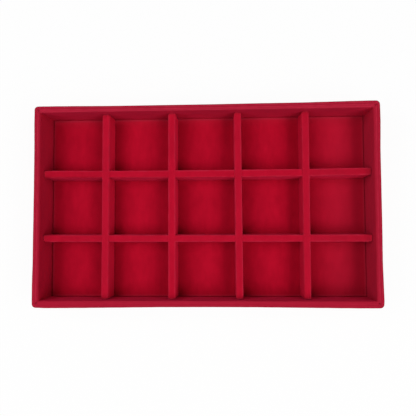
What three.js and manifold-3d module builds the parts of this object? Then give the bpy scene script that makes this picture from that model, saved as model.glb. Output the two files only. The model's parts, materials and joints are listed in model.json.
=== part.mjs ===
// Jewelry display tray: a rimmed box of thin boards covered in velvet, with a loose grid of
// velvet-covered dividers standing in it. Millimetres, +X right, +Y back, +Z up. The origin lies
// under the middle of the tray, on the surface that it stands on.
import * as THREE from "three";
import { mergeVertices } from "three/addons/utils/BufferGeometryUtils.js";
import Module from "manifold-3d";

// The tray as a whole
const trayLength = 350;
const trayWidth = 205;
const trayHeight = 40;

// Velvet, and the line of glue that it sits on
const velvet = 0.8;
const glueLine = 0.1;
const skin = velvet + glueLine;

// Rails: the boards inside the four walls
const railThickness = 5;
const railEdgeRadius = 0.7; // along the top
const railCornerRadius = 1.6; // down the outside of each corner
const railFootRadius = 0.2; // along the bottom
const rabbetDepth = 2.5; // how far a side rail's end is let into a long rail
const rebateDepth = 2; // how far the base board is let into the rails

// Wall velvet
const turnInWidth = 14; // the strip glued under the base, from the outer face inwards
const mitreGap = 0.1; // each covering stops this far from the corner's diagonal, along the wall

// Base and underside
const baseThickness = 3;
const undersideCardThickness = 1;
const undersideInset = 3; // from the tray's outer faces
const undersideCornerRadius = 2;

// Floor pad: a card with velvet folded round its front and back edges and cut off at its ends
const floorCardThickness = 1;
const floorCardEdgeRadius = 0.2;
const padEndGap = 2.05; // to the left and right walls, as if the pad lay in the middle
const padSideGap = 0.6; // to the front and back walls, likewise
const padOffsetX = 0.5; // the pad is glued down a little to the right and to the front
const padOffsetY = -0.4;

// Dividers: a halved grid that stands loose on the floor pad
const columnCount = 5;
const rowCount = 3;
const dividerHeight = 23; // top of the dividers above the floor pad
const dividerBoardThickness = 5.8;
const dividerBoardTopRadius = 0.9;
const dividerBoardEndRadius = 0.6; // down each end
const dividerBoardFootRadius = 0.2; // along the bottom
const layClearance = 0.2; // between the loose grid and the floor pad
const dividerEndGap = 0.5; // to the wall, at each end of a divider in the middle
const slotClearance = 0.15; // at each side of a crossing, and between its two halves
const sleeveSeamGap = 1.5; // between the sleeve's two edges, under the board
const gridOffsetX = -0.3; // the loose grid lies a little to the left
const rowOffset = -0.5; // and its long dividers cross the short ones a little to the front

// Shapes
const arcSteps = 6; // straight steps in each rounded quarter
const overrun = 1; // how far a cutting shape runs past what it cuts
const mergeTolerance = 1e-4;

// Sizes that follow
const wallThickness = railThickness + 2 * skin;
const dividerThickness = dividerBoardThickness + 2 * skin;
const halfLength = trayLength / 2;
const halfWidth = trayWidth / 2;
const cavityLength = trayLength - 2 * wallThickness;
const cavityWidth = trayWidth - 2 * wallThickness;
const columnPitch = (cavityLength - (columnCount - 1) * dividerThickness) / columnCount + dividerThickness;
const rowPitch = (cavityWidth - (rowCount - 1) * dividerThickness) / rowCount + dividerThickness;

// Levels, from the ground up
const turnInBottom = undersideCardThickness + glueLine;
const turnInTop = turnInBottom + velvet;
const baseBottom = turnInTop + glueLine;
const baseTop = baseBottom + baseThickness;
const padBottom = baseTop + glueLine;
const floorCardTop = padBottom + floorCardThickness;
const floorTop = floorCardTop + skin;

const wasm = await Module();
wasm.setup();

// A closed geometry as a solid that can be cut and joined.
function solidOf(geometry) {
  geometry.deleteAttribute("normal");
  geometry.deleteAttribute("uv");
  const merged = mergeVertices(geometry, mergeTolerance);
  const triVerts = new Uint32Array(merged.index.array);
  const vertProperties = merged.attributes.position.array;
  return new wasm.Manifold(new wasm.Mesh({ numProp: 3, vertProperties, triVerts }));
}

// A solid as a named mesh with a material of its own.
function meshOf(name, solid, finish) {
  const cut = solid.getMesh();
  const geometry = new THREE.BufferGeometry();
  geometry.setAttribute("position", new THREE.BufferAttribute(cut.vertProperties, cut.numProp));
  geometry.setIndex(new THREE.BufferAttribute(cut.triVerts, 1));
  const flat = geometry.toNonIndexed();
  flat.computeVertexNormals();
  const mesh = new THREE.Mesh(flat, new THREE.MeshStandardMaterial(finish));
  mesh.name = name;
  return mesh;
}

// Finishes
const velvetFinish = { color: 0xa8112c, roughness: 0.95, metalness: 0 };
const boardFinish = { color: 0xb08a5c, roughness: 0.8, metalness: 0 };
const cardFinish = { color: 0x8f887c, roughness: 0.9, metalness: 0 };
const paperFinish = { color: 0x1d1b1c, roughness: 0.85, metalness: 0 };

// A rectangle from low to high, each [across, up], with a radius for its two top and its two
// bottom corners.
function roundedShape(low, high, topRadius, bottomRadius) {
  const quarter = Math.PI / 2;
  const shape = new THREE.Shape();
  const corners = [
    [low[0], low[1], bottomRadius, 1, 1],
    [high[0], low[1], bottomRadius, -1, 1],
    [high[0], high[1], topRadius, -1, -1],
    [low[0], high[1], topRadius, 1, -1],
  ];
  corners.forEach(([x, y, radius, inX, inY], turn) => {
    const start = (turn + 2) * quarter;
    for (let step = 0; step <= arcSteps; step += 1) {
      const angle = start + (quarter * step) / arcSteps;
      const px = x + inX * radius + radius * Math.cos(angle);
      const py = y + inY * radius + radius * Math.sin(angle);
      if (turn === 0 && step === 0) shape.moveTo(px, py);
      else if (radius > 0 || step === 0) shape.lineTo(px, py);
    }
  });
  return shape;
}

// A shape drawn in [sideways, up], run along a level direction and centred there.
function runAlong(direction, shape, length) {
  const geometry = new THREE.ExtrudeGeometry(shape, { depth: length, bevelEnabled: false });
  geometry.translate(0, 0, -length / 2);
  const up = new THREE.Vector3(0, 0, 1);
  const sideways = new THREE.Vector3().crossVectors(up, direction);
  geometry.applyMatrix4(new THREE.Matrix4().makeBasis(sideways, up, direction));
  return solidOf(geometry);
}

const runAlongX = (shape, length) => runAlong(new THREE.Vector3(1, 0, 0), shape, length);
const runAlongY = (shape, length) => runAlong(new THREE.Vector3(0, 1, 0), shape, length);

// A shape drawn in plan, run up from one level to another.
function runUp(shape, bottom, top) {
  const geometry = new THREE.ExtrudeGeometry(shape, { depth: top - bottom, bevelEnabled: false });
  geometry.translate(0, 0, bottom);
  return solidOf(geometry);
}

// A box from one corner to the opposite one.
function box(low, high) {
  const geometry = new THREE.BoxGeometry(high[0] - low[0], high[1] - low[1], high[2] - low[2]);
  geometry.translate((low[0] + high[0]) / 2, (low[1] + high[1]) / 2, (low[2] + high[2]) / 2);
  return solidOf(geometry);
}

// The walls
// Each wall is drawn along X, with its outer face at Y = 0 and the inside of the tray at +Y.

// The tray's outline as that wall sees it, brought in by inset, as a tall block.
function outlineBlock(length, across, inset, cornerRadius) {
  const low = [-length / 2 + inset, inset];
  const high = [length / 2 - inset, across - inset];
  return runUp(roundedShape(low, high, cornerRadius, cornerRadius), -overrun, trayHeight + overrun);
}

// A wall's covering: velvet from the strip under the base, up the outer face, over the rim and
// down the inner face to the base board, ending on the corners' diagonals.
function wallVelvet(length, across) {
  const rimRadius = railEdgeRadius + skin;
  const footRadius = railFootRadius + skin;
  const cornerRadius = railCornerRadius + skin;
  const wall = roundedShape([0, turnInBottom], [wallThickness, trayHeight], rimRadius, footRadius);
  const turnIn = roundedShape([footRadius, turnInBottom], [turnInWidth, turnInTop], 0, 0);
  const outside = runAlongX(wall, length)
    .add(runAlongX(turnIn, length))
    .intersect(outlineBlock(length, across, 0, cornerRadius));
  const inWall = roundedShape(
    [velvet, turnInTop],
    [wallThickness - velvet, trayHeight - velvet],
    rimRadius - velvet,
    footRadius - velvet,
  );
  const overBase = roundedShape([footRadius, turnInTop], [turnInWidth + overrun, padBottom], 0, 0);
  const hollow = runAlongX(inWall, length)
    .add(runAlongX(overBase, length))
    .intersect(outlineBlock(length, across, velvet, cornerRadius - velvet));
  const reach = turnInWidth + overrun;
  const mitred = new THREE.Shape([
    new THREE.Vector2(-length / 2 + mitreGap - overrun, -overrun),
    new THREE.Vector2(length / 2 - mitreGap + overrun, -overrun),
    new THREE.Vector2(length / 2 - mitreGap - reach, reach),
    new THREE.Vector2(-length / 2 + mitreGap + reach, reach),
  ]);
  return outside.subtract(hollow).intersect(runUp(mitred, -overrun, trayHeight + overrun));
}

// A rail's section, with the rebate for the base board along its lower inner edge.
function railBar(length) {
  const section = roundedShape(
    [skin, baseBottom],
    [skin + railThickness, trayHeight - skin],
    railEdgeRadius,
    railFootRadius,
  );
  const inner = skin + railThickness;
  const rebate = box(
    [-length / 2 - overrun, inner - rebateDepth, baseBottom - overrun],
    [length / 2 + overrun, inner + overrun, padBottom],
  );
  return runAlongX(section, length).subtract(rebate);
}

// A long rail runs the whole length of the tray, and a rabbet at each end takes a side rail.
function longRail(length, across) {
  const end = length / 2 - skin;
  const seat = end - railThickness - glueLine;
  const inner = skin + railThickness;
  const low = [-end, baseBottom];
  const high = [end, trayHeight - skin];
  const endEdges = roundedShape(low, high, railEdgeRadius, railFootRadius);
  let rail = railBar(2 * end)
    .intersect(outlineBlock(length, across, skin, railCornerRadius))
    .intersect(runAlongY(endEdges, 2 * (wallThickness + overrun)));
  const nearSide = inner - rabbetDepth;
  const farSide = inner + overrun;
  for (const [left, right] of [[-end - overrun, -seat], [seat, end + overrun]]) {
    rail = rail.subtract(box([left, nearSide, -overrun], [right, farSide, trayHeight + overrun]));
  }
  return rail;
}

// A side rail runs between the long rails, let into their rabbets.
function sideRail(length) {
  const end = length / 2 - skin - railThickness + rabbetDepth - glueLine;
  return railBar(2 * end);
}

const walls = new THREE.Group();
const wallTable = [
  { side: "front", rail: longRail, size: [trayLength, trayWidth], at: [0, -halfWidth, 0], turns: 0 },
  { side: "right", rail: sideRail, size: [trayWidth, trayLength], at: [halfLength, 0, 0], turns: 1 },
  { side: "back", rail: longRail, size: [trayLength, trayWidth], at: [0, halfWidth, 0], turns: 2 },
  { side: "left", rail: sideRail, size: [trayWidth, trayLength], at: [-halfLength, 0, 0], turns: 3 },
];
for (const { side, rail, size, at, turns } of wallTable) {
  const wall = new THREE.Group();
  wall.add(meshOf(side + "_rail", rail(...size), boardFinish));
  wall.add(meshOf(side + "_wall_velvet", wallVelvet(...size), velvetFinish));
  wall.position.set(...at);
  wall.rotation.z = (turns * Math.PI) / 2;
  walls.add(wall);
}

// The base board, its edges glued into the rails' rebates.
function baseBoard() {
  const inset = skin + railThickness - rebateDepth + glueLine;
  const x = halfLength - inset;
  const y = halfWidth - inset;
  return box([-x, -y, baseBottom], [x, y, baseTop]);
}

// The card that covers the turned-in velvet, and that the tray stands on.
function undersideCard() {
  const x = halfLength - undersideInset;
  const y = halfWidth - undersideInset;
  const plan = roundedShape([-x, -y], [x, y], undersideCornerRadius, undersideCornerRadius);
  return runUp(plan, 0, undersideCardThickness);
}

// The floor pad is drawn in the middle and placed as a group.
const padLength = cavityLength - 2 * padEndGap;
const padHalfWidth = cavityWidth / 2 - padSideGap;

function floorCard() {
  const y = padHalfWidth - skin;
  const section = roundedShape([-y, padBottom], [y, floorCardTop], floorCardEdgeRadius, 0);
  return runAlongX(section, padLength);
}

// The floor velvet covers the card and folds down over its front and back edges.
function floorVelvet() {
  const radius = floorCardEdgeRadius + skin;
  const y = padHalfWidth - velvet;
  const outside = roundedShape([-padHalfWidth, padBottom], [padHalfWidth, floorTop], radius, 0);
  const hollow = roundedShape([-y, padBottom - overrun], [y, floorTop - velvet], radius - velvet, 0);
  return runAlongX(outside, padLength).subtract(runAlongX(hollow, padLength + 2 * overrun));
}

const floorPad = new THREE.Group();
floorPad.add(meshOf("floor_card", floorCard(), cardFinish));
floorPad.add(meshOf("floor_velvet", floorVelvet(), velvetFinish));
floorPad.position.set(padOffsetX, padOffsetY, 0);

// The dividers
// Each divider is drawn along X, centred there, and stands on Z = 0.

const sleeveHeight = dividerHeight - layClearance;
const lapLevel = sleeveHeight / 2;

// A bar with rounded edges that lies inside the sleeve's outer surface by inset.
function dividerBar(length, inset) {
  const grown = skin - inset;
  const topRadius = dividerBoardTopRadius + grown;
  const footRadius = dividerBoardFootRadius + grown;
  const endRadius = dividerBoardEndRadius + grown;
  const y = dividerThickness / 2 - inset;
  const x = length / 2 - inset;
  const section = roundedShape([-y, inset], [y, sleeveHeight - inset], topRadius, footRadius);
  const plan = roundedShape([-x, -y], [x, y], endRadius, endRadius);
  return runAlongX(section, 2 * x).intersect(runUp(plan, 0, sleeveHeight));
}

// The slots that let two dividers cross, each as wide as the divider that it takes.
function slotsAt(places, bottom, top) {
  const half = dividerThickness / 2 + slotClearance;
  const y = dividerThickness / 2 + overrun;
  return places.map((x) => box([x - half, -y, bottom], [x + half, y, top]));
}

function dividerBoard(length, slots) {
  return slots.reduce((solid, slot) => solid.subtract(slot), dividerBar(length, skin));
}

// The sleeve goes right round the board, and its two edges meet in a seam under it.
function dividerSleeve(length, slots) {
  const seamEnd = length / 2 - skin;
  const seam = box([-seamEnd, -sleeveSeamGap / 2, -overrun], [seamEnd, sleeveSeamGap / 2, skin]);
  const sleeve = dividerBar(length, 0).subtract(dividerBar(length, velvet)).subtract(seam);
  return slots.reduce((solid, slot) => solid.subtract(slot), sleeve);
}

function divider(name, length, slots) {
  const group = new THREE.Group();
  group.add(meshOf(name + "_board", dividerBoard(length, slots), boardFinish));
  group.add(meshOf(name + "_velvet", dividerSleeve(length, slots), velvetFinish));
  return group;
}

// Places of the dividers, counted from the left and from the front.
const places = (count, pitch) => Array.from({ length: count }, (_, k) => (k - (count - 1) / 2) * pitch);
const shortPlaces = places(columnCount - 1, columnPitch);
const longPlaces = places(rowCount - 1, rowPitch).map((y) => y + rowOffset);

const grid = new THREE.Group();
grid.position.set(gridOffsetX, 0, floorTop + layClearance);

// Short dividers run front to back and pass over the long ones, so their slots open downwards.
const shortLength = cavityWidth - 2 * dividerEndGap;
shortPlaces.forEach((x, k) => {
  const slots = slotsAt(longPlaces, -overrun, lapLevel + slotClearance);
  const group = divider("short_divider_" + (k + 1), shortLength, slots);
  group.position.set(x, 0, 0);
  group.rotation.z = Math.PI / 2;
  grid.add(group);
});

// Long dividers run side to side, and their slots open upwards.
const longLength = cavityLength - 2 * dividerEndGap;
longPlaces.forEach((y, k) => {
  const slots = slotsAt(shortPlaces, lapLevel - slotClearance, sleeveHeight + overrun);
  const group = divider("long_divider_" + (k + 1), longLength, slots);
  group.position.set(0, y, 0);
  grid.add(group);
});

const tray = new THREE.Group();
tray.add(meshOf("underside_card", undersideCard(), paperFinish));
tray.add(meshOf("base_board", baseBoard(), boardFinish));
tray.add(walls);
tray.add(floorPad);
tray.add(grid);

export default tray;
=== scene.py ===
"""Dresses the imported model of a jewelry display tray: velvet over its walls, its floor pad and its
loose grid of dividers, raw board and card inside, and a white stage with plain soft light."""

import json
import math

import bmesh
import bpy
import numpy as np
from bpy.props import FloatProperty, FloatVectorProperty, PointerProperty
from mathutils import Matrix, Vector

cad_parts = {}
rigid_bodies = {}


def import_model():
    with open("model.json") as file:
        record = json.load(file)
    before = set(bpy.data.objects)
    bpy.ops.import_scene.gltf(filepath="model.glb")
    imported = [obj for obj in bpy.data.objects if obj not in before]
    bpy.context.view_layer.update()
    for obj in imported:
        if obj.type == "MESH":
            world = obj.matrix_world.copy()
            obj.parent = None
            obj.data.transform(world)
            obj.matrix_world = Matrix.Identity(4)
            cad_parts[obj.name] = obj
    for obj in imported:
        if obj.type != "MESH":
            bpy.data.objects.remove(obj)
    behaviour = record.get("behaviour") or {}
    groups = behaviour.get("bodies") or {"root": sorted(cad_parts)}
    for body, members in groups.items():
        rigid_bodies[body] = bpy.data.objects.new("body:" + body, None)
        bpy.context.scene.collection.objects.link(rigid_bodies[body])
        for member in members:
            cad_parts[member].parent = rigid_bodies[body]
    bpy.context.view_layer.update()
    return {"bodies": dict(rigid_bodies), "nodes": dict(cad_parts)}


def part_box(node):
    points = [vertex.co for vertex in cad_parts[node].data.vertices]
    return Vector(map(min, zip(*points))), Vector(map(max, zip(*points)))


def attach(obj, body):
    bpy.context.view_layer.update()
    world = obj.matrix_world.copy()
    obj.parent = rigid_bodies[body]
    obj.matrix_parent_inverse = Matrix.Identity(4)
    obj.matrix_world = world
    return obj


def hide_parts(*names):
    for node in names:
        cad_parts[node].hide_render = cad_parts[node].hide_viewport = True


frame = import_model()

bl_info = {
    "name": "Jewelry display tray",
    "version": (1, 0, 0),
    "blender": (4, 5, 0),
    "location": "View3D > Sidebar > Tray",
    "description": "Dresses a velvet display tray with a loose grid of dividers, and lights it",
    "category": "Object",
}

MM = 0.001

TRAY = "tray"
GRID = "divider_grid"

# Steps round a rounding, rings over a divider's end, waves in a ripple, and a loose thread's sides
# and points
ARC_STEPS = 6
END_RINGS = 4
WAVES = 14
THREAD_SIDES = 5
THREAD_POINTS = 12
# Seeds of the random patterns: the first of each kind of piece, and from one piece to the next
WALL_SEED, FLOOR_SEED, SHORT_SEED, LONG_SEED = 100, 200, 20, 50
THREAD_SEEDS = {"left": 5, "right": 6}
SEED_STEP = 3


# Settings


def length(name, description, millimetres):
    """A size that a user can change."""
    return FloatProperty(
        name=name,
        description=description,
        default=millimetres * MM,
        unit="LENGTH",
        precision=5,
        min=0,
    )


def colour(name, description, default):
    """A colour that a user can change, as linear red, green and blue."""
    return FloatVectorProperty(
        name=name, description=description, default=default, subtype="COLOR", size=3, min=0, max=1
    )


def placing(name, description, default, subtype, unit):
    """A place or a turn that a user can change, along or about X, Y and Z."""
    return FloatVectorProperty(
        name=name, description=description, default=default, subtype=subtype, unit=unit, size=3
    )


def power(name, description, default):
    """A strength of light that a user can change."""
    return FloatProperty(name=name, description=description, default=default, min=0)


class TrayClothSizes(bpy.types.PropertyGroup):
    """Sizes of the velvet and of how it lies."""

    thickness: length("Velvet", "Thickness of the velvet with its pile", 0.8)
    least_cover: length("Least cover", "Thinnest that the velvet gets where it is pressed", 0.12)
    step: length("Step", "Distance between the points of the cloth", 1.6)
    floor_step: length("Floor step", "Distance between the points of the floor's cloth", 2.2)
    nap_height: length("Nap height", "How far the pile rises and falls in broad patches", 0.1)
    nap_length: length("Nap length", "Width of those broad patches", 11)
    tuft_height: length("Tuft height", "How far small tufts of pile rise and fall", 0.05)
    tuft_length: length("Tuft length", "Width of the small tufts", 3.2)
    sway: length("Sway", "How far the rim's inner edge wanders in and out", 0.35)
    sway_length: length("Sway length", "Width of those wanderings", 24)
    corner_radius: length("Corner radius", "Radius down the outside of each corner", 3.5)
    inner_radius: length("Inner corner radius", "Radius down the inside of each corner", 0.7)
    rim_radius: length("Rim radius", "Radius along the outer edge of the rim", 1.7)
    foot_radius: length("Foot radius", "Radius along the foot of the walls", 1.1)
    pad_edge_radius: length("Pad edge radius", "Radius along the pad's folded edges", 0.6)
    lip_clearance: length("Lip clearance", "From the walls' turned-in lip to the floor pad", 0.02)
    mitre_gap: length("Mitre gap", "From the end of a wall's cloth to the corner's diagonal", 0.05)
    crease_depth: length("Crease depth", "Depth of the crease across each corner's rim", 0.28)
    crease_width: length("Crease width", "Half the width of that crease", 1.3)
    dimple_depth: length("Dimple depth", "Depth of the dimple in that crease", 0.45)
    dimple_radius: length("Dimple radius", "Radius of that dimple", 0.8)
    divider_top_radius: length("Divider top radius", "Radius along the dividers' tops", 1.0)
    divider_foot_radius: length("Divider foot radius", "Radius along the dividers' feet", 0.5)
    divider_end_radius: length("Divider end radius", "Radius round the dividers' ends", 2.0)
    end_gap: length("End gap", "From the ends of the dividers to the walls", 0.2)
    flare: length("Flare", "How far a divider's cloth spreads towards its foot", 0.5)
    flare_height: length("Flare height", "Height over which it spreads", 7)
    seam: length("Seam", "Width of the open seam under each divider", 1.5)
    waist: length("Waist", "How far a slot squeezes each side of the divider in it", 0.12)
    slot_clearance: length("Slot clearance", "Between the cloths of crossing dividers", 0.05)
    slot_rounding: length("Slot rounding", "How far the cloth turns in at a slot's mouth", 0.12)
    slot_reach: length("Slot reach", "Distance over which the cloth turns in there", 1.0)
    give: length("Give", "How far a wall's inner face may bulge towards the dividers", 0.15)
    fray: length("Fray", "How ragged the cut ends of the floor's cloth are", 0.25)
    thread_radius: length("Thread radius", "Radius of a loose thread", 0.09)
    thread_length: length("Thread length", "Length of a loose thread", 4.5)


class TrayColours(bpy.types.PropertyGroup):
    """Colours of the tray and its stage."""

    # Pale and deep: random brushed patches mix them, and so do the painted light and shade on faces
    velvet_pale: colour("Velvet, pale", "Pile leaning to the eye", (0.88, 0.01, 0.0485))
    velvet_deep: colour("Velvet, deep", "Pile leaning away", (0.36, 0.0028, 0.0155))
    # Real wear, and painted sheen on the inner faces, the dividers and the floor near the right wall
    velvet_worn_and_sheen: colour("Velvet, worn", "Worn pile, as on the rim", (0.41, 0.011, 0.033))
    # Pile rubbed along edges, and painted highlights on edges, tips and the pad's back
    velvet_crest: colour("Velvet, crests", "Pile rubbed along edges", (0.53, 0.022, 0.055))
    # Painted shade: in creases, dimples and gaps, and beside the grid and the walls
    velvet_painted_shade: colour("Velvet, folded", "The bottom of creases", (0.10, 0.001, 0.004))
    sheen: colour("Sheen", "The velvet's sheen", (1.0, 0.035, 0.13))
    board: colour("Board", "Brown of the raw board", (0.43, 0.26, 0.12))
    board_fibre: colour("Board fibre", "Darker fibres in the board", (0.24, 0.13, 0.055))
    card: colour("Card", "Grey of the floor's card", (0.27, 0.24, 0.2))
    card_fleck: colour("Card fleck", "Darker flecks in the card", (0.14, 0.12, 0.1))
    underside: colour("Underside", "Black of the underside's card", (0.012, 0.011, 0.012))
    underside_grain: colour("Underside grain", "Paler grain of it", (0.03, 0.028, 0.029))


class TrayStage(bpy.types.PropertyGroup):
    """Camera and light."""

    lens: FloatProperty(name="Lens", description="Focal length in mm", default=41.03, min=1)
    camera_place: placing(
        "Camera place", "Where the camera is", (0.02395, -0.02685, 0.51297), "XYZ", "LENGTH"
    )
    camera_turn: placing(
        "Camera turn", "Its turn from looking down", (0.049, 0.044, -0.005), "EULER", "ROTATION"
    )
    left_power: power("Left lamp", "Power in watts of the lamp on the left", 5.55)
    right_power: power("Right lamp", "Power in watts of the lamp on the right", 4.15)
    high_power: power("High lamp", "Power in watts of the high lamp on the left", 1.75)
    corner_power: power("Corner lamp", "Power in watts of the lamp at the right front", 3.55)
    sky: power("Sky", "Strength of the light from all round", 0.16)
    floor_size: length("Floor", "Side of the white floor", 6000)
    floor_drop: length("Floor drop", "From the tray's underside down to the floor", 0.2)


# Shader maths


class Signal:
    """A socket that ordinary operators work on: each operator adds its Math node."""

    def __init__(self, tree, socket):
        self.tree = tree
        self.socket = socket

    def maths(self, operation, *values, clamp=False):
        settings = {"operation": operation, "use_clamp": clamp}
        return node(self.tree, "ShaderNodeMath", settings, dict(enumerate(values)))

    def __add__(self, other):
        return self.maths("ADD", self, other)

    __radd__ = __add__

    def __mul__(self, other):
        return self.maths("MULTIPLY", self, other)

    __rmul__ = __mul__

    def __sub__(self, other):
        return self.maths("SUBTRACT", self, other)

    def __rsub__(self, other):
        return self.maths("SUBTRACT", other, self)

    def clamped(self):
        return self.maths("ADD", self, 0, clamp=True)

    def highest(self, other):
        return self.maths("MAXIMUM", self, other)


def node(tree, kind, settings, inputs, output=0):
    """Adds a node: its settings first, then the values or links of its sockets."""
    made = tree.nodes.new(kind)
    for key, value in settings.items():
        setattr(made, key, value)
    for key, value in inputs.items():
        if isinstance(value, Signal):
            tree.links.new(value.socket, made.inputs[key])
        else:
            made.inputs[key].default_value = value
    return Signal(tree, made.outputs[output])


def mixed(tree, factor, first, second):
    """A blend of two colours, each a Signal or a linear colour."""
    settings = {"data_type": "RGBA", "clamp_factor": True}
    sides = [side if isinstance(side, Signal) else (*side, 1) for side in (first, second)]
    return node(tree, "ShaderNodeMix", settings, {0: factor, 6: sides[0], 7: sides[1]}, output=2)


def noise(tree, place, scale, detail=2.0, roughness=0.5, stretch=(1, 1, 1)):
    """A noise of about 0 to 1 at a place, with scale in waves per metre."""
    stretched = node(
        tree, "ShaderNodeVectorMath", {"operation": "MULTIPLY"}, {0: place, 1: stretch}
    )
    inputs = {"Vector": stretched, "Scale": scale, "Detail": detail, "Roughness": roughness}
    return node(tree, "ShaderNodeTexNoise", {}, inputs)


def contrast(signal, low, high):
    """Stretches the part of a signal between low and high to 0 and 1."""
    gain = 1 / (high - low)
    return ((signal - low) * gain).clamped()


def bump(tree, height, strength, distance):
    """Dents and bumps in a surface, from a height of about 0 to 1."""
    inputs = {"Strength": strength, "Distance": distance, "Height": height}
    return node(tree, "ShaderNodeBump", {}, inputs)


def new_material(name):
    """An empty material, its tree, and the place on the object that its patterns follow."""
    material = bpy.data.materials.new(name)
    material.use_nodes = True
    material.node_tree.nodes.clear()
    tree = material.node_tree
    place = node(tree, "ShaderNodeTexCoord", {}, {}, output="Object")
    return material, tree, place


def surface(material, tree, shader):
    """Ends a material's tree in its output and gives the material back."""
    node_out = tree.nodes.new("ShaderNodeOutputMaterial")
    tree.links.new(shader.socket, node_out.inputs["Surface"])
    return material


def finish(material, tree, inputs):
    """Ends a material in one plain shader with these inputs."""
    return surface(material, tree, node(tree, "ShaderNodeBsdfPrincipled", {}, inputs))


# Velvet: the scale of each pattern and its share in how far the pile leans, then what the patterns
# and the painted light and shade on each face do to that lean
BRUSHED_SCALE, BRUSHED_SHARE = 55, 0.4
STREAKS_SCALE, STREAKS_SHARE = 160, 0.4
PILE_SCALE, PILE_SHARE = 1400, 0.2
STREAKS_STRETCH = (1, 0.35, 1)
LEAN_BY_PATTERN, LEAN_BY_PAINTED_LIGHT, LEAN_BACK = 0.7, 0.25, 0.1
# How much of its wear and painted sheen the velvet shows where its pile is shortest, and how much
# more along the pile, and the least share of its rubbed pile and painted highlights
WEAR_LEAST, WEAR_OF_PILE, CREST_LEAST = 0.75, 0.5, 0.5


def velvet_material(colours):
    """Short-pile velvet: brushed patches, painted light and shade on each face, paler along its
    edges with rubbed pile and painted highlights, and painted shade in its folds, gaps and beside
    the grid.

    It reads four marks from a cloth's points: painted light and shade, wear and painted sheen, crest
    and painted shade."""
    material, tree, place = new_material("red_velvet")
    combed, wear, crest, fold = (
        node(tree, "ShaderNodeAttribute", {"attribute_name": name}, {}, output="Fac")
        for name in ("combed", "wear", "crest", "fold")
    )
    brushed = noise(tree, place, BRUSHED_SCALE, detail=3, roughness=0.6)
    streaks = noise(tree, place, STREAKS_SCALE, detail=2, roughness=0.6, stretch=STREAKS_STRETCH)
    pile = noise(tree, place, PILE_SCALE, detail=3, roughness=0.7)
    patches = brushed * BRUSHED_SHARE + streaks * STREAKS_SHARE + pile * PILE_SHARE
    # The pile's lean from its random patches, plus the painted light and shade on each face
    lean = (patches * LEAN_BY_PATTERN + combed * LEAN_BY_PAINTED_LIGHT - LEAN_BACK).clamped()
    worn = (wear * (WEAR_LEAST + WEAR_OF_PILE * pile)).clamped()
    rubbed = (crest * (CREST_LEAST + pile)).clamped()
    shade = mixed(tree, lean, colours.velvet_deep, colours.velvet_pale)
    layers = ((worn, "velvet_worn_and_sheen"), (rubbed, "velvet_crest"), (fold, "velvet_painted_shade"))
    for mask, name in layers:
        shade = mixed(tree, mask, shade, getattr(colours, name))
    inputs = {
        "Base Color": shade,
        "Roughness": 0.95,
        "Specular IOR Level": 0.0,
        "Sheen Weight": 0.45,
        "Sheen Roughness": 0.45,
        "Sheen Tint": (*colours.sheen, 1),
        "Normal": bump(tree, pile + streaks * 0.5, strength=0.35, distance=0.35 * MM),
    }
    return finish(material, tree, inputs)


def board_material(colours):
    """Raw fibreboard: short fibres in a paler ground."""
    material, tree, place = new_material("fibreboard")
    fibre = noise(tree, place, scale=900, detail=4, roughness=0.7, stretch=(0.3, 1, 1))
    cloud = noise(tree, place, scale=60)
    mask = contrast(fibre * 0.7 + cloud * 0.3, low=0.42, high=0.66)
    inputs = {
        "Base Color": mixed(tree, mask, colours.board, colours.board_fibre),
        "Roughness": 0.8 + 0.15 * fibre,
        "Normal": bump(tree, fibre, strength=0.3, distance=0.1 * MM),
    }
    return finish(material, tree, inputs)


def card_material(colours):
    """Grey card made of pulped paper, with darker flecks."""
    material, tree, place = new_material("grey_card")
    pulp = noise(tree, place, scale=700, detail=4, roughness=0.75)
    mask = contrast(pulp, low=0.5, high=0.72)
    inputs = {
        "Base Color": mixed(tree, mask, colours.card, colours.card_fleck),
        "Roughness": 0.85 + 0.1 * pulp,
        "Normal": bump(tree, pulp, strength=0.2, distance=0.05 * MM),
    }
    return finish(material, tree, inputs)


def underside_material(colours):
    """Black card with a fine pebbled grain, rubbed a little paler where it slides."""
    material, tree, place = new_material("black_card")
    grain = {"Vector": place, "Scale": 850, "Smoothness": 0.6}
    pebbles = node(tree, "ShaderNodeTexVoronoi", {"feature": "SMOOTH_F1"}, grain)
    rubbing = noise(tree, place, scale=28, detail=4, roughness=0.65)
    mask = contrast(pebbles * 0.35 + rubbing * 0.65, low=0.4, high=0.62)
    inputs = {
        "Base Color": mixed(tree, mask, colours.underside, colours.underside_grain),
        "Roughness": 0.5 + 0.25 * mask,
        "Normal": bump(tree, pebbles, strength=0.5, distance=0.12 * MM),
    }
    return finish(material, tree, inputs)


# Cloth meshes

# The corners of one cell of a grid, and for each of its four sides: where the cell beyond it lies,
# and the side's two ends
CELL = ((0, 0), (1, 0), (1, 1), (0, 1))
CELL_SIDES = (
    ((0, -1), (1, 0), (0, 0)),
    ((0, 1), (0, 1), (1, 1)),
    ((-1, 0), (0, 0), (0, 1)),
    ((1, 0), (1, 1), (1, 0)),
)
WELD_DISTANCE = 0.001 * MM
SMALLEST_EDGE = 0.0005 * MM
SHARP_ANGLE = 50
WAVE_SPREAD = (0.7, 1.6)


def by_column(table):
    """A dictionary for each column of a table, whose rows hold one value for each column."""
    return [dict(zip(table, values)) for values in zip(*table.values())]


def ripple(points, wavelength, seed):
    """A smooth field of about -1 to 1 over points, with bumps of about a wavelength."""
    rng = np.random.default_rng(seed)
    directions = rng.normal(size=(WAVES, 3))
    directions /= np.linalg.norm(directions, axis=1)[:, None]
    phases = rng.uniform(0, 2 * math.pi, WAVES)
    lengths = wavelength * rng.uniform(*WAVE_SPREAD, WAVES)
    field = np.zeros(points.shape[:-1])
    for direction, phase, wave in zip(directions, phases, lengths):
        field += np.sin(points @ direction * (2 * math.pi / wave) + phase)
    return np.clip(field / math.sqrt(2 * WAVES), -1, 1)


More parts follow.
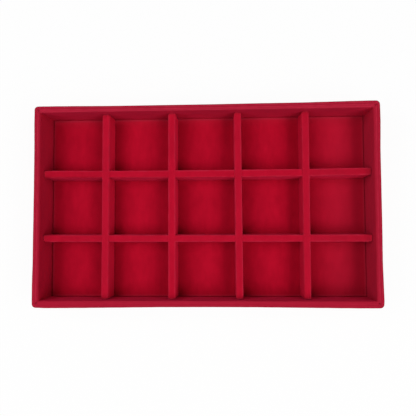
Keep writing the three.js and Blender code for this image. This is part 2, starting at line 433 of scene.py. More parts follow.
def smooth(share):
    """Eases a share from 0 to 1."""
    share = np.clip(share, 0, 1)
    return share * share * (3 - 2 * share)


def bell(distance, reach):
    """1 at no distance, falling off on both sides over about the reach."""
    return np.exp(-((distance / reach) ** 2))


def bent_path(corners, radii, walk, shares):
    """Points and outward directions along a path of straight runs joined by rounded corners.

    corners holds the path's points if its corners were sharp, radii the radius at each, walk the
    direction of each run, with the outside on its left, and shares the places of the samples
    along each run. A corner that turns in, to the outside, stays sharp."""
    points = []
    outward = []
    for k, places in enumerate(shares):
        ahead = np.array(walk[k], float)
        left = np.array([-ahead[1], ahead[0]])
        first = np.array(corners[k]) + ahead * radii[k]
        last = np.array(corners[k + 1]) - ahead * radii[k + 1]
        for share in places:
            points.append(first + (last - first) * share)
            outward.append(left)
        if k + 1 < len(shares) and left @ walk[k + 1] < 0:
            centre = last - left * radii[k + 1]
            for step in range(1, ARC_STEPS):
                angle = math.pi / 2 * step / ARC_STEPS
                direction = left * math.cos(angle) + ahead * math.sin(angle)
                points.append(centre + direction * radii[k + 1])
                outward.append(direction)
    return np.array(points), np.array(outward)


def run_shares(distance, step):
    """Even samples from 0 to 1 along a run of that length."""
    return np.linspace(0, 1, max(2, round(distance / step) + 1))


def keep_cover(base, moved, outward, most):
    """Brings moved points back where they went further in than most, along their normals."""
    inward = -np.sum((moved - base) * outward, axis=-1)
    excess = np.maximum(inward - most, 0)
    return moved + outward * excess[..., None]


def napped(sizes, points, outward, seed):
    """Points raised and lowered along their normals, as velvet's pile lies in patches and tufts."""
    broad = ripple(points, sizes.nap_length, seed) * sizes.nap_height
    small = ripple(points, sizes.tuft_length, seed + 1) * sizes.tuft_height
    return points + outward * (broad + small)[..., None]


def strip_faces(outer_index, inner_index, kept, open_ends):
    """The faces of a sheet with two sides, and of the edges round it and round its holes."""
    i, j = np.nonzero(kept)
    faces = [
        np.stack([outer_index[i + a, j + b] for a, b in CELL], axis=1),
        np.stack([inner_index[i + a, j + b] for a, b in reversed(CELL)], axis=1),
    ]
    rows, columns = kept.shape
    padded = np.pad(kept, 1)
    if open_ends:
        padded[0] = padded[1]
        padded[-1] = padded[-2]
    for (di, dj), a, b in CELL_SIDES:
        i, j = np.nonzero(kept & ~padded[1 + di : rows + 1 + di, 1 + dj : columns + 1 + dj])
        first = (i + a[0], j + a[1])
        second = (i + b[0], j + b[1])
        corners = [outer_index[first], outer_index[second], inner_index[second], inner_index[first]]
        faces.append(np.stack(corners, axis=1))
    return np.concatenate(faces)


def added(name, data):
    """A new object in the scene."""
    thing = bpy.data.objects.new(name, data)
    bpy.context.scene.collection.objects.link(thing)
    return thing


def cloth_object(name, outer, inner, marks, material, kept=None, welded_ends=False):
    """A closed piece of cloth between two grids of points, without the cells that aren't kept.

    marks holds a grid of values for each attribute that the velvet reads. Where the ends are
    welded, the first and last rows have come together on a line and close the piece."""
    rows, columns = outer.shape[:2]
    index = np.arange(rows * columns).reshape(rows, columns)
    if kept is None:
        kept = np.ones((rows - 1, columns - 1), bool)
    faces = strip_faces(index, index + rows * columns, kept, welded_ends)
    mesh = bpy.data.meshes.new(name)
    points = np.concatenate([outer.reshape(-1, 3), inner.reshape(-1, 3)])
    mesh.from_pydata(points.tolist(), [], faces.tolist())
    for key, values in marks.items():
        attribute = mesh.attributes.new(key, "FLOAT", "POINT")
        both = np.concatenate([values.ravel(), values.ravel()])
        attribute.data.foreach_set("value", both.astype(np.float32))
    shape = bmesh.new()
    shape.from_mesh(mesh)
    if welded_ends:
        shape.verts.ensure_lookup_table()
        ends = [*index[0], *index[-1]]
        met = [shape.verts[k + side] for k in ends for side in (0, rows * columns)]
        bmesh.ops.remove_doubles(shape, verts=met, dist=WELD_DISTANCE)
    loose = [vert for vert in shape.verts if not vert.link_faces]
    bmesh.ops.delete(shape, geom=loose, context="VERTS")
    bmesh.ops.dissolve_degenerate(shape, edges=shape.edges[:], dist=SMALLEST_EDGE)
    if shape.calc_volume(signed=True) < 0:
        bmesh.ops.reverse_faces(shape, faces=shape.faces[:])
    shape.to_mesh(mesh)
    shape.free()
    mesh.polygons.foreach_set("use_smooth", [True] * len(mesh.polygons))
    mesh.set_sharp_from_angle(angle=math.radians(SHARP_ANGLE))
    mesh.materials.append(material)
    return added(name, mesh)


def stands_for(piece, body, *nodes):
    """Puts a velvet piece on its body in the place of the plain solids that it dresses."""
    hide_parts(*nodes)
    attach(piece, body)


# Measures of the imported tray


def tray_measures():
    """The tray's own sizes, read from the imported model, in metres."""
    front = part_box("front_wall_velvet")
    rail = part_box("front_rail")
    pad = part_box("floor_velvet")
    skin = rail[0].y - front[0].y
    return {
        "half_length": -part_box("left_wall_velvet")[0].x,
        "half_width": -front[0].y,
        "wall": rail[1].y + skin - front[0].y,
        "top": front[1].z,
        "foot": front[0].z,
        "turn_in": front[1].y - front[0].y,
        "base_top": pad[0].z,
        "gaps": {
            "front": pad[0].y - rail[1].y - skin,
            "back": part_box("back_rail")[0].y - skin - pad[1].y,
            "left": pad[0].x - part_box("left_rail")[1].x - skin,
            "right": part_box("right_rail")[0].x - skin - pad[1].x,
        },
    }


# The walls
# Each wall's cloth is drawn along X, at its distance in from the wall's outer face, and turned
# into place by quarter turns. Its outline isn't quite straight: offsets are outward, in
# millimetres, along the rim's outer edge at OUTLINE_PLACES, along its inner edge at even places,
# and at the two ends of the wall's foot. Then come the radius of the rim's inner edge and the
# marks: the painted light and shade on the inner face and how much rubbed pile and painted sheen
# it shows, each at the wall's two ends, and how much wear and painted sheen; how strong the rim's
# pale lines of rubbed pile and painted highlight are, the painted highlight of the brim along its
# inner edge at the start, middle and end, the painted shade line between the pale ones and the one
# at the outer edge; and how dark the painted shade on the lip at the inner foot is.

SIDES = ("front", "right", "back", "left")
OUTLINE_PLACES = (-1, -0.93, -0.8, -0.55, -0.28, 0, 0.28, 0.55, 0.8, 0.93, 1)
WALL_VALUES = {
    "turns": (0, 1, 2, 3),
    "outer": (
        (0.35, 0.9, 0.75, 0.3, -0.3, -0.5, -0.45, 0.0, 0.4, 0.5, 0.35),
        (0.1, 0.5, 0.2, -0.3, 0.0, 0.0, 0.0, 0.0, 0.7, 0.55, 0.3),
        (0.35, 0.45, 0.2, -0.45, -0.5, -0.75, -0.8, -0.7, -0.2, -0.05, -0.15),
        (0.1, 0.05, 0.1, -0.25, -0.25, -0.2, 0.0, 0.05, 0.55, 0.5, 0.3),
    ),
    "inner": (
        (0.2, -0.3, -0.5, -0.4, 0.1),
        (-0.35, -0.25, -0.2, -0.1, 0.25),
        (0.1, -0.5, -0.7, -0.6, -0.2),
        (-0.35, -0.3, -0.3, -0.2, 0.05),
    ),
    "foot": ((0.5, 0.4), (-0.4, 0.6), (-0.15, 0.2), (-0.4, 0.25)),
    "inner_radius": (1.3 * MM, 2.7 * MM, 1.9 * MM, 2.7 * MM),
    "combed": ((-0.6, -1.5), (-0.3, -0.1), (-0.2, -0.2), (0.05, -0.65)),
    "rubbed": ((0.0, 0.0), (0.2, 0.45), (0.15, 0.1), (0.25, 0.0)),
    "wear": (0.0, 0.9, 0.4, 0.35),
    "crests": (0.5, 0.85, 1.45, 0.8),
    "brim": ((0.1, 0.4, 0.0), (0.3, 0.3, 0.3), (0.85, 0.85, 0.85), (0.1, 0.1, 0.1)),
    "valley": (0.03, 0.08, 0.12, 0.08),
    "brink": (0.12, 0.05, 0.15, 0.15),
    "lip_shade": (0.1, 0.5, 0.2, 0.6),
}
WALLS = dict(zip(SIDES, by_column(WALL_VALUES)))
# The direction of each run of a wall's section, the places of points near its ends, in
# millimetres, and the steps where few or many points are needed, as shares of the usual
WALL_WALK = ((-1, 0), (0, 1), (1, 0), (0, -1), (1, 0))
END_STATIONS = (0.0, 0.3, 0.6, 1.0, 1.5, 2.1, 2.8, 3.8, 5.0, 6.5)
COARSE_STEP, FINE_STEP = 3, 0.25
# The height at which the rim's outline begins to be felt, and how far in it begins and ends to fade
WARP_FOOT = 25 * MM
WARP_NEAR, WARP_FAR = 10 * MM, 26 * MM
# Shape: how much of the corner's crease runs on down the faces, where its dimple lies across the
# wall, how near the rim and the corners the sway ends, how much of the nap the outer edge keeps and
# how soon it is full, how far in the inner face begins, and what a tight bend takes off the cover
FACE_CREASE = 0.2
DIMPLE_PLACE = 0.58
SWAY_FROM_TOP, SWAY_FROM_END = 5 * MM, 8 * MM
QUIET_NAP, QUIET_REACH = 0.4, 3 * MM
INNER_FACE = 0.9
TIGHT_BEND = 0.36 * MM
# Marks: wear of the faces near the rim and how far down it goes, how evenly the rim is rubbed, the
# places and width of its pale lines of rubbed pile and painted highlight and of the painted shade
# line at its outer edge, the painted highlight along each corner's fold, and how the brim's painted
# highlight, the lip's painted shade and the inner face's marks come in
FACE_WEAR, WEAR_REACH = 0.35, 5 * MM
RUBBED_EVENLY, RUBBED_PATCH = 0.65, 9 * MM
RIM_CRESTS = (1.7 * MM, 3.9 * MM)
RIM_CREST_WIDTH = 0.5 * MM
RUBBED_WIDTH = 0.55 * MM
BRINK_PLACE, BRINK_DEPTH = 0.2 * MM, 2.5 * MM
FOLD_CREST = 0.3
BRIM, BRIM_START, BRIM_END = 1.8 * MM, 1.4, 0.3
LIP_START = 0.2 * MM
INSIDE_START, INSIDE_DEPTH = 0.7, 3 * MM


def outline_offset(wall, along, half, inwards, rise):
    """How far out of true a wall lies, at places along it from -half to half.

    inwards runs from 0 at the wall's outer face to 1 at its inner face, and rise from 0 in the
    wall's lower part to 1 at the rim."""
    share = np.clip(along / half, -1, 1)
    outer = np.interp(share, OUTLINE_PLACES, wall["outer"])
    inner = np.interp(share, np.linspace(-1, 1, len(wall["inner"])), wall["inner"])
    foot = np.interp(share, (-1, 1), wall["foot"])
    rim = outer + (inner - outer) * smooth(inwards)
    return (foot + (rim - foot) * smooth(rise)) * MM


def warped(points, measures):
    """Points moved in plan with the outline of the walls that they are near."""
    half = np.array([measures["half_length"], measures["half_width"]])
    moved = points.copy()
    for wall in WALLS.values():
        angle = wall["turns"] * math.pi / 2
        out = np.array([math.sin(angle), -math.cos(angle)])
        run = np.array([math.cos(angle), math.sin(angle)])
        depth = abs(out @ half) - points[..., :2] @ out
        weight = 1 - smooth((depth - WARP_NEAR) / (WARP_FAR - WARP_NEAR))
        rise = (points[..., 2] - WARP_FOOT) / (measures["top"] - WARP_FOOT)
        along, inwards = points[..., :2] @ run, depth / measures["wall"]
        offset = outline_offset(wall, along, abs(run @ half), inwards, rise)
        moved[..., :2] += (weight * offset)[..., None] * out
    return moved


def wall_marks(form, outer, depth, below, along_share, on_rim, from_end, dimpled, wall, seed):
    """The velvet's marks on a wall: depth is counted in from its outer face, below from its top."""
    rubbing = RUBBED_EVENLY + (1 - RUBBED_EVENLY) * ripple(outer, RUBBED_PATCH, seed)
    # Rim: pale lines of rubbed pile and painted highlight, painted shade between them and at the
    # edge
    lines = sum(bell(depth - place, RIM_CREST_WIDTH) for place in RIM_CRESTS)
    valley = on_rim * bell(depth - sum(RIM_CRESTS) / 2, RIM_CREST_WIDTH)
    brink = bell(depth - BRINK_PLACE, RIM_CREST_WIDTH) * (below < BRINK_DEPTH)
    brim = smooth((depth - wall) / BRIM + BRIM_START) * (1 - smooth(below / BRIM - BRIM_END))
    inside = smooth((depth / wall - INSIDE_START) / (1 - INSIDE_START))
    inside = inside * smooth(below / INSIDE_DEPTH)
    # Painted highlights along each corner's fold and the brim; rubbed pile and painted sheen inside
    crest = lines * on_rim * rubbing * form["crests"]
    crest = crest + FOLD_CREST * on_rim * bell(from_end, RUBBED_WIDTH)
    crest = crest + np.interp(along_share, (-1, 0, 1), form["brim"]) * brim
    crest = crest + np.interp(along_share, (-1, 1), form["rubbed"]) * inside
    # Wear near the rim, and painted sheen on the inner face
    wear = (FACE_WEAR + (1 - FACE_WEAR) * on_rim) * (1 - smooth(below / WEAR_REACH))
    # Painted shade in each corner's dimple and on the lip in the gap beside the floor pad
    fold = np.maximum(smooth(dimpled), form["lip_shade"] * (depth > wall + LIP_START))
    return {
        "combed": np.interp(along_share, (-1, 1), form["combed"]) * inside,
        "wear": np.maximum(wear + 0 * from_end, form["wear"] * inside),
        "crest": np.clip(crest, 0, 1),
        "fold": np.maximum(fold, form["valley"] * valley + form["brink"] * brink),
    }


def wall_cloth(sizes, measures, side, material, seed):
    """The velvet over one wall: from the strip under the base, up, over the rim and down inside."""
    form = WALLS[side]
    turns = form["turns"]
    halves = (measures["half_length"], measures["half_width"])
    half, across = halves[turns % 2], halves[(turns + 1) % 2]
    wall, top, foot = measures["wall"], measures["top"], measures["foot"]
    lip = measures["gaps"][side] - sizes.lip_clearance
    lip_top = measures["base_top"] + sizes.thickness
    corners = (
        (measures["turn_in"], foot),
        (0, foot),
        (0, top),
        (wall, top),
        (wall, lip_top),
        (wall + lip, lip_top),
    )
    radii = (0, sizes.foot_radius, sizes.rim_radius, form["inner_radius"], 0, 0)
    spans = (measures["turn_in"], top - foot, wall - sizes.rim_radius, top - foot, lip)
    steps = (COARSE_STEP, 1, FINE_STEP, 1, 1)
    shares = [run_shares(span, step * sizes.step) for span, step in zip(spans, steps)]
    path, outward = bent_path(corners, radii, WALL_WALK, shares)
    inner_path = path - outward * sizes.thickness

    near_end = np.array(END_STATIONS) * MM / half
    middle = np.linspace(0, 1 - 2 * near_end[-1], round(2 * half / sizes.step))[1:-1]
    straight = np.concatenate([near_end, near_end[-1] + middle, 1 - near_end[::-1]]) * 2 - 1
    arc = np.linspace(math.pi / 4, 0, ARC_STEPS + 1)[:-1]
    share = np.concatenate([-np.ones(len(arc)), straight, np.ones(len(arc))])[:, None]
    angle = np.concatenate([-arc, np.zeros(len(straight)), arc[::-1]])[:, None]

    def placed(section):
        depth, height = section[:, 0][None], section[:, 1][None]
        inwards = np.clip(depth / wall, 0, 1)
        radius = sizes.corner_radius + (sizes.inner_radius - sizes.corner_radius) * inwards
        reach = half - sizes.mitre_gap - np.minimum(depth, wall) - radius
        along = share * reach + radius * np.sin(angle)
        into = depth + radius * (1 - np.cos(angle)) - across
        return np.stack([along, into, height + 0 * along], axis=-1)

    outer, inner = placed(path), placed(inner_path)
    along = outer[..., 0].copy()
    sideways, up = outward[:, 0][None], outward[:, 1][None]
    normal = [-sideways * np.sin(angle), sideways * np.cos(angle), up + 0 * angle]
    normal = np.stack(normal, axis=-1)
    turn = turns * math.pi / 2
    matrix = np.array([[math.cos(turn), math.sin(turn)], [-math.sin(turn), math.cos(turn)]])
    for grid in (outer, inner, normal):
        grid[..., :2] = grid[..., :2] @ matrix

    depth = path[:, 0][None]
    below = top - path[:, 1][None]
    on_rim = np.clip(up, 0, 1)
    crease_share = FACE_CREASE + (1 - FACE_CREASE) * on_rim
    from_end = np.maximum(half - depth - np.abs(along), 0) * math.sin(math.pi / 4)
    crease = np.clip(1 - from_end / sizes.crease_width, 0, 1) ** 2
    crease = crease * sizes.crease_depth * crease_share
    from_dimple = np.hypot(from_end, depth - DIMPLE_PLACE * wall)
    dimple = sizes.dimple_depth * on_rim * bell(from_dimple, sizes.dimple_radius)
    sway = ripple(outer, sizes.sway_length, seed + 9) * sizes.sway * smooth(depth / wall)
    sway = sway * (1 - smooth(below / SWAY_FROM_TOP)) * smooth(from_end / SWAY_FROM_END)
    quiet = QUIET_NAP + (1 - QUIET_NAP) * smooth(depth / QUIET_REACH)
    sunk = outer + (napped(sizes, outer, normal, seed) - outer) * quiet[..., None]
    sunk = sunk + normal * (sway - crease - dimple)[..., None]
    moved = warped(sunk, measures)
    bend = 2 * np.abs(sideways * up) * (depth > wall / 2)
    corner = np.abs(np.sin(2 * angle)) * np.clip(1 - depth / wall, 0, 1)
    most = sizes.thickness - sizes.least_cover - TIGHT_BEND * np.maximum(bend, corner)
    moved = keep_cover(outer, moved, normal, most)
    give = np.where(depth > INNER_FACE * wall, sizes.give, wall)
    moved = keep_cover(outer, moved, -normal, give)

    dimpled = dimple / sizes.dimple_depth
    marks = wall_marks(
        form, outer, depth, below, along / half, on_rim, from_end, dimpled, wall, seed + 5
    )
    piece = cloth_object(side + "_wall_cloth", moved, inner, marks, material)
    stands_for(piece, TRAY, side + "_wall_velvet")


# The floor pad

# Painted shade on the floor, darker beside the dividers and walls where their shadows fall: how
# strong it is, and where it lies or how far it reaches. First the band to the right of each divider,
# with its share in each column and its fade towards the back
GRID_SHADE_RIGHT = (0.26, 2 * MM, 14 * MM)
GRID_SHADE_SHARES = (0.7, 1.2, 0.97, 0.85, 0.8)
GRID_SHADE_FADE = 7 * MM
# The bands of painted shade to the left of each divider and far behind it, and the dark corner
GRID_SHADE_LEFT = (0.2, 7 * MM, 6 * MM)
GRID_SHADE_LEFT_START, GRID_SHADE_LEFT_FADE = 0.3, 1.4
GRID_SHADE_BEHIND = (0.06, 35 * MM, 13 * MM)
GRID_SHADE_CORNER = (0.47, 7.5 * MM, 6.5 * MM)
# The shade at the front of the compartments: its change of sign left of the middle, as a share of
# half the floor, its least, and how much paler the front row is than that on the left
GRID_SHADE_AHEAD = (0.13, 11 * MM)
AHEAD_PLACE, AHEAD_LEAST, AHEAD_IN_FRONT = 0.25, -0.4, 1.5
# A narrow line of painted shade along each foot, stronger to the left
GRID_SHADE_FOOT = (0.2, 1.5 * MM)
FOOT_SHIFT, FOOT_SLOPE, FOOT_RANGE = 0.1, 0.6, (0.4, 1.5)
# Painted sheen towards the right wall and where it comes in, and how much painted light the floor
# gets where that sheen is, at the back edge and at the front edge
FLOOR_PAINTED_SHEEN, SHEEN_START, SHEEN_RUN = 0.5, 0.55, 0.35
SHEEN_PAINTED_LIGHT = 1.0
BACK_PAINTED_LIGHT, BACK_PAINTED_LIGHT_REACH = 0.7, 5 * MM
FRONT_PAINTED_LIGHT, FRONT_PAINTED_LIGHT_REACH = 0.5, 2 * MM
# The pad's pale edges, rubbed pile with painted highlights: strength, place and width of the lines
# at the back and front, strength and reach of the painted glow at the back, and strength at the cut
# ends
BACK_CREST = (0.8, 0.8 * MM, 0.9 * MM)
FRONT_CREST = (0.5, 0.6 * MM, 0.9 * MM)
BACK_GLOW = (0.25, 6 * MM)
CUT_CREST = 0.7
# Places of extra points beside a divider's foot, in millimetres, and the closest that two may lie,
# as a share of the floor; points down a fold; and a distance beyond any on the tray
FOOT_POINTS = (-0.2, 0.4, 1.0, 1.6, 2.3)
CLOSEST = 0.0002
FOLD_POINTS = 3
NOWHERE = 1


def painted_grid_shade(points, flare):
    """How much painted shade the floor gets beside the grid and the walls, where their shadows fall.
    """
    low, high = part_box("floor_velvet")
    shorts, longs, short_x, long_y = divider_places()
    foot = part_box(shorts[0] + "_velvet")
    half, short_half = (foot[1].x - foot[0].x) / 2, (foot[1].y - foot[0].y) / 2
    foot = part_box(longs[0] + "_velvet")
    long_half = (foot[1].x - foot[0].x) / 2
    x, y = points[..., 0], points[..., 1]
    short_x = [place + drift(lay, y, short_half) for place, lay in zip(short_x, SHORT_LAY)]
    long_y = [place + drift(lay, x, long_half) for place, lay in zip(long_y, LONG_LAY)]
    half = half + flare
    starts, ends = [place + half for place in short_x], [place - half for place in short_x]
    fronts, backs = [place + half for place in long_y], [place - half for place in long_y]

    def nearest(places, where, side):
        """Distance to the nearest of the places on one side: 1 for before, -1 for beyond."""
        apart = np.stack([side * (where - place) for place in places])
        return np.where(apart >= 0, apart, NOWHERE).min(axis=0)

    half_of_floor = (high.x - low.x) / 2
    right_of, left_of = nearest([low.x, *starts], x, 1), nearest([*ends, high.x], x, -1)
    behind, ahead = nearest([low.y, *fronts], y, 1), nearest([*backs, high.y], y, -1)
    strength, near, far = GRID_SHADE_RIGHT
    strength = strength * np.array(GRID_SHADE_SHARES)[sum(x > place for place in short_x)]
    share = strength * (1 - smooth((right_of - near) / (far - near))) * smooth(ahead / GRID_SHADE_FADE)
    strength, middle, reach = GRID_SHADE_LEFT
    beside = strength * bell(left_of - middle, reach)
    share = share + beside * smooth((behind / GRID_SHADE_FADE - GRID_SHADE_LEFT_START) / GRID_SHADE_LEFT_FADE)
    strength, middle, reach = GRID_SHADE_BEHIND
    share = share + strength * bell(behind - middle, reach)
    strength, across, along = GRID_SHADE_CORNER
    share = share + strength * bell(right_of, across) * bell(behind, along)
    strength, reach = GRID_SHADE_AHEAD
    to_right = np.clip(x / half_of_floor + AHEAD_PLACE, AHEAD_LEAST, 1)
    to_right = to_right + np.minimum(to_right, 0) * AHEAD_IN_FRONT * (y < fronts[0])
    share = share + strength * to_right * bell(behind, reach)
    strength, reach = GRID_SHADE_FOOT
    strength = strength * np.clip(FOOT_SHIFT - x / (FOOT_SLOPE * half_of_floor), *FOOT_RANGE)
    sides = [nearest(starts, x, 1), nearest(ends, x, -1)]
    sides += [nearest(fronts, y, 1), nearest(backs, y, -1)]
    return np.maximum(share + strength * (1 - smooth(np.min(sides, axis=0) / reach)), 0)


def with_feet(shares, places, name, start, run):
    """Samples along a run of the floor, with more of them beside the feet of the dividers."""
    low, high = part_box(name + "_velvet")
    half = min(high.x - low.x, high.y - low.y) / 2
    feet = [
        place + side * (half + gap * MM)
        for place in places
        for side in (-1, 1)
        for gap in FOOT_POINTS
    ]
    every = np.sort(np.concatenate([shares, (np.array(feet) - start) / run]))
    return every[np.concatenate([[True], np.diff(every) > CLOSEST])]


def floor_marks(outer, middle, half_length, half_width, flare):
    """The velvet's marks on the floor pad."""
    from_back = middle.y + half_width - outer[..., 1]
    from_front = 2 * half_width - from_back
    from_cut = half_length - np.abs(outer[..., 0] - middle.x)
    # Pale edges of rubbed pile with painted highlights, a painted glow at the back, pale cut ends
    crest = 0
    for from_edge, (strength, place, width) in ((from_back, BACK_CREST), (from_front, FRONT_CREST)):
        crest = crest + strength * bell(from_edge - place, width)
    strength, reach = BACK_GLOW
    crest = crest + strength * bell(from_back, reach) + CUT_CREST * bell(from_cut, RUBBED_WIDTH)
    # Painted sheen towards the right wall, with painted light there and near the back and front
    # edges
    wear = FLOOR_PAINTED_SHEEN * smooth((outer[..., 0] / half_length - SHEEN_START) / SHEEN_RUN)
    combed = BACK_PAINTED_LIGHT * bell(from_back, BACK_PAINTED_LIGHT_REACH)
    combed = combed + wear * (SHEEN_PAINTED_LIGHT + outer[..., 1] / half_width)
    return {
        "combed": combed + FRONT_PAINTED_LIGHT * bell(from_front, FRONT_PAINTED_LIGHT_REACH),
        "wear": wear,
        "crest": np.clip(crest, 0, 1),
        "fold": painted_grid_shade(outer, flare),
    }


def floor_cloth(sizes, material, seed):
    """The floor's velvet, folded down at the front and back and cut off at its two ends."""
    low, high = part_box("floor_velvet")
    middle = (low + high) / 2
    half_length = (high.x - low.x) / 2
    half_width = (high.y - low.y) / 2
    radius = sizes.pad_edge_radius
    corners = (
        (-half_width, low.z),
        (-half_width, high.z),
        (half_width, high.z),
        (half_width, low.z),
    )
    fold_shares = np.linspace(0, 1, FOLD_POINTS)
    shorts, longs, short_x, long_y = divider_places()
    flat = half_width - radius
    across_shares = run_shares(2 * half_width, sizes.floor_step)
    across_shares = with_feet(across_shares, long_y, longs[0], middle.y - flat, 2 * flat)
    shares = (fold_shares, across_shares, fold_shares)
    path, outward = bent_path(corners, (0, radius, radius, 0), WALL_WALK[1:4], shares)
    inner_path = path - outward * sizes.thickness
    along = run_shares(2 * half_length, sizes.floor_step)
    along = with_feet(along, short_x, shorts[0], middle.x - half_length, 2 * half_length)
    along = ((along * 2 - 1) * half_length)[:, None]

    def placed(section):
        across = section[:, 0][None] + middle.y + 0 * along
        up = section[:, 1][None] + 0 * along
        return np.stack([along + middle.x + 0 * across, across, up], axis=-1)

    outer = placed(path)
    level = 0 * outer[..., 0]
    normal = np.stack([level, outward[:, 0][None] + level, outward[:, 1][None] + level], axis=-1)
    moved = napped(sizes, outer, normal, seed) - normal * sizes.nap_height
    ragged = np.abs(ripple(outer, sizes.tuft_length, seed + 7)) * sizes.fray * np.sign(along)
    end_share = smooth(1 - (half_length - np.abs(along)) / (2 * sizes.floor_step))
    moved[..., 0] += ragged * end_share
    moved = keep_cover(outer, moved, normal, sizes.thickness - sizes.least_cover)
    marks = floor_marks(outer, middle, half_length, half_width, sizes.flare)
    piece = cloth_object("floor_cloth", moved, placed(inner_path), marks, material)
    stands_for(piece, TRAY, "floor_velvet")


# The dividers
# Where each one really lies: how far it is shifted to +X or +Y and how far its ends lie beyond
# its middle, in millimetres, and how much it is skewed, in millimetres for each one along. Then,
# at its start and its end and with the right or front side first, how rounded its two top edges
# are and the painted light and shade on its two sides; how much wear and painted sheen its sides
# and its top show; and the painted light and shade on the top of its two ends.

SHORT_LAY = by_column({
    "shift": (0.41, 0.37, -0.2, -0.36),
    "skew": (0.003, 0.001, -0.0055, 0.0),
    "bow": (0.0, 0.0, 0.0, 0.0),
    "crowns": (
        ((2.0, 2.6), (1.3, 1.5)),
        ((1.0, 0.9), (0.9, 0.6)),
        ((0.6, 0.5), (1.4, 1.2)),
        ((1.5, 1.1), (2.9, 1.6)),
    ),
    "combed": (
        ((1.3, 1.9), (0.05, 0.05)),
        ((1.6, 1.8), (0.05, 0.05)),
        ((0.95, 0.95), (0.05, 0.05)),
        ((0.95, 0.95), (0.45, 1.0)),
    ),
    "worn": ((0.25, 0.3), (0.15, 0.12), (0.15, 0.25), (0.2, 0.3)),
    "tips": ((-0.9, -0.6), (-0.1, 0.3), (-0.4, 0.2), (-0.2, 0.0)),
})
LONG_LAY = by_column({
    "shift": (-0.3, -0.62),
    "skew": (-0.0028, -0.001),
    "bow": (0.15, 1.1),
    "crowns": (((1.7, 0.9), (1.3, 1.0)), ((2.6, 0.8), (0.5, 0.5))),
    "combed": (((-0.35, -0.2), (-2.0, -2.0)), ((-0.75, 0.25), (0.0, 0.0))),
    "worn": ((0.0, 0.2), (0.0, 0.12)),
    "tips": ((3.4, 3.4), (3.6, 1.6)),
})
DRIFT_LIMIT = 0.62 * MM
DIVIDER_WALK = ((-1, 0), (0, 1), (1, 0), (0, -1), (-1, 0))
# How far a rounding of radius 1 cuts off its corner, and how far one may before it comes too near
# to the rounded edge of the board inside
ROUND_CORNER = math.sqrt(2) - 1
BOARD_CORNER = 0.8 * MM
# Shape: the least radius, how much less a tip sinks than it draws in, how much rounder and how far,
# the greatest radius along the top, and that over a slot, as a share, with its reach
LEAST_RADIUS = 0.05 * MM
TIP_LEVEL = 0.3
TIP_CROWN, TIP_CROWN_REACH = 0.5 * MM, 5 * MM
MOST_CROWN = 3.0 * MM
SLOT_CROWN, SLOT_CROWN_REACH = 0.25, 1.5 * MM
# Points of the mesh: the height covered by one side's rows, the points across the top and the
# bottom, the places of rings beside a slot, in millimetres, the rings inside one and how near its
# edge a ring counts as inside, and where the lap may lie on a side, as shares of its height
SIDE_ROWS_HEIGHT = 9 * MM
TOP_POINTS, BOTTOM_POINTS = 7, 3
SLOT_RINGS, RINGS_INSIDE = (0, 0.25, 0.5, 0.8, 1.2, 1.8), 7
SLOT_EDGE = 0.01 * MM
LAP_RANGE = (0.1, 0.9)
# Slots: how far above the lap the cloth is pulled in, the reach of that waist and of the flare's
# end, what is left of it on top, and how dark and wide the painted shade lines at the edges of a
# slot are
LAP_FADE, WAIST_REACH, FLARE_FADE = 2 * MM, 1.2 * MM, 3 * MM
WAIST_ON_TOP = 0.35
SLOT_SHADE, SLOT_SHADE_REACH = 0.1, 0.7 * MM
WAIST_LINE, WAIST_LINE_WIDTH = 0.2 * MM, 0.45 * MM
# Marks: shade along the foot, wear near the top, how evenly and strongly the edges are rubbed and
# painted with highlights, and the painted light and shade and the wear on top, at the ends of the
# long ones and at the tips
FOOT_SHADE, FOOT_SHADE_HEIGHT = 0.3, 1.6 * MM
TOP_WEAR_DEPTH = 4 * MM
EDGE_EVENLY, EDGE_CREST, EDGE_PLACE, EDGE_UPRIGHT = 0.6, 0.85, 0.5 * MM, 0.4
CROSSING_FADE, CROSSING_REACH = 0.8, 0.5 * MM
TIP_CREST, TIP_REACH = 0.4, 3.5 * MM
TOP_PAINTED_LIGHT = 0.25
LONG_END_START, LONG_END_RUN = 0.55, 0.15
LONG_END_PAINTED_SHADE, LONG_END_WEAR = -0.4, 0.2
NAP_SHIFT = 0.1


def divider_places():
    """Names, and places in X or Y, of the short and the long dividers, from the left or front."""
    shorts = ["short_divider_%d" % (k + 1) for k in range(len(SHORT_LAY))]
    longs = ["long_divider_%d" % (k + 1) for k in range(len(LONG_LAY))]
    short_x = [sum(corner.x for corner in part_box(name + "_velvet")) / 2 for name in shorts]
    long_y = [sum(corner.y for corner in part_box(name + "_velvet")) / 2 for name in longs]
    return shorts, longs, short_x, long_y


def drift(lay, along, half):
    """How far sideways a divider lies from its true place, at places from -half to half."""
    bend = lay["bow"] * (along / half) ** 2
    return np.clip((lay["shift"] + bend) * MM + lay["skew"] * along, -DRIFT_LIMIT, DRIFT_LIMIT)


